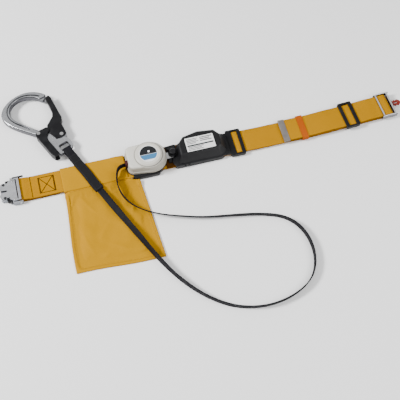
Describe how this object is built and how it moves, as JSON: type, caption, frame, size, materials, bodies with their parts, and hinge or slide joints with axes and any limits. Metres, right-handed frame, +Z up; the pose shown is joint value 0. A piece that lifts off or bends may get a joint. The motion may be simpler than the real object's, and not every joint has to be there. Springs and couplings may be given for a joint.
{
  "type": "self retracting lifeline",
  "caption": "Waist belt with a spring reel, an energy absorber, a long webbing lifeline ending in a large safety hook, and a cloth bag, laid flat.",
  "frame": {"origin": "on the ground under the energy absorber, on the belt's centre line", "axes": "+X along the belt towards the tongue, +Y towards the hook's side, +Z up from the ground"},
  "size_m": [0.8247, 0.5711, 0.0348],
  "materials": {
    "yellow_webbing": "woven polyester webbing, ribbed",
    "yellow_cloth": "plain woven nylon cloth",
    "brown_thread": "thick sewing thread",
    "tip_metal": "matt nickel",
    "orange_elastic": "ribbed elastic",
    "black_steel": "black powder coat",
    "black_plastic": "moulded, fine grain",
    "case_plastic": "moulded, fine grain, light warm grey",
    "badge_print": "printed disc",
    "mouth_plastic": "dark red-black moulding",
    "zinc_steel": "zinc plated",
    "bronze": "sintered bronze",
    "black_webbing": "woven polyester webbing",
    "spring_steel": "blued strip",
    "label_print": "laminated label",
    "aluminium_cast": "satin casting",
    "aluminium_forged": "forged, satin",
    "chrome_steel": "bright plate",
    "red_plastic": "moulded",
    "black_paint": "satin black paint",
    "black_sleeve": "tubular wear sleeve"
  },
  "bodies": {
    "root": {"absorber_base": "black_plastic", "absorber_cover": "black_plastic", "absorber_label": "label_print", "absorber_rivets": "black_steel", "bag_back_panel": "yellow_cloth", "bag_front_panel": "yellow_cloth", "bag_tunnel": "yellow_cloth", "belt_strap": "yellow_webbing", "belt_tip": "tip_metal", "box_stitch": "brown_thread", "buckle_base": "aluminium_cast", "buckle_cover": "aluminium_cast", "buckle_rivets": "zinc_steel", "buckle_tongue": "red_plastic", "button_spring_far": "spring_steel", "button_spring_near": "spring_steel", "case_screws": "zinc_steel", "drum_shaft": "zinc_steel", "hook_loop": "black_webbing", "left_bar": "zinc_steel", "lifeline_cord": "black_webbing", "link_knob": "black_plastic", "link_pin": "zinc_steel", "link_plate": "black_plastic", "mainspring": "spring_steel", "ratchet_ring": "zinc_steel", "reel_back_cover": "case_plastic", "reel_badge": "badge_print", "reel_bracket": "black_plastic", "reel_frame": "zinc_steel", "reel_front_cover": "case_plastic", "reel_mouth": "mouth_plastic", "right_bar": "chrome_steel", "shaft_bush": "bronze", "slot_guard": "black_plastic", "spring_post": "aluminium_cast", "tear_webbing": "black_webbing", "tongue_frame": "chrome_steel", "webbing_feed": "black_webbing", "webbing_sleeve": "black_sleeve"},
    "drum": {"reel_drum": "black_plastic", "wound_webbing": "black_webbing", "pawl_pins": "zinc_steel"},
    "pawl_a": {"pawl_left": "zinc_steel"},
    "pawl_b": {"pawl_right": "zinc_steel"},
    "hook": {"hook_body": "aluminium_forged", "gate_pin": "zinc_steel", "lever_pin": "zinc_steel"},
    "gate": {"hook_gate": "black_paint"},
    "lever": {"lock_lever": "black_paint"},
    "button_near": {"release_button_near": "black_steel"},
    "button_far": {"release_button_far": "black_steel"},
    "slider_a": {"absorber_slider": "black_steel"},
    "slider_b": {"tail_slider": "black_steel"},
    "keeper": {"belt_keeper": "orange_elastic"}
  },
  "joints": [
    {"name": "drum_spin", "type": "hinge", "parent": "root", "child": "drum", "pos_m": [-0.076, 0.0015, 0.02], "axis": [0, 0, 1], "continuous": true},
    {"name": "pawl_a_swing", "type": "hinge", "parent": "drum", "child": "pawl_a", "pos_m": [-0.0885, 0.0075, 0.0288], "axis": [0, 0, 1], "range_deg": [0, 10]},
    {"name": "pawl_b_swing", "type": "hinge", "parent": "drum", "child": "pawl_b", "pos_m": [-0.0635, -0.0045, 0.0288], "axis": [0, 0, 1], "range_deg": [0, 10]},
    {"name": "hook_swing", "type": "hinge", "parent": "root", "child": "hook", "pos_m": [-0.22772, 0.06449, 0.0105], "axis": [0.9171, 0.3987, 0], "range_deg": [0, 120]},
    {"name": "gate_swing", "type": "hinge", "parent": "hook", "child": "gate", "pos_m": [-0.23184, 0.10032, 0.0105], "axis": [0, 0, 1], "range_deg": [0, 32], "stiffness_Nm_per_rad": 0.15},
    {"name": "lever_squeeze", "type": "hinge", "parent": "hook", "child": "lever", "pos_m": [-0.27628, 0.11099, 0.0105], "axis": [0, 0, 1], "range_deg": [0, 7], "stiffness_Nm_per_rad": 0.4},
    {"name": "button_near_press", "type": "slide", "parent": "root", "child": "button_near", "axis": [0, 1, 0], "range_m": [0, 0.003], "stiffness_N_per_m": 600, "deforming": ["button_spring_near"]},
    {"name": "button_far_press", "type": "slide", "parent": "root", "child": "button_far", "axis": [0, -1, 0], "range_m": [0, 0.003], "stiffness_N_per_m": 600, "deforming": ["button_spring_far"]},
    {"name": "absorber_slider_slide", "type": "slide", "parent": "root", "child": "slider_a", "axis": [1, 0, 0], "range_m": [0, 0.06]},
    {"name": "keeper_slide", "type": "slide", "parent": "root", "child": "keeper", "axis": [1, 0, 0], "range_m": [-0.018, 0.018]},
    {"name": "tail_slider_slide", "type": "slide", "parent": "root", "child": "slider_b", "axis": [0.9986, 0.0523, 0], "range_m": [-0.01, 0.03]}
  ]
}
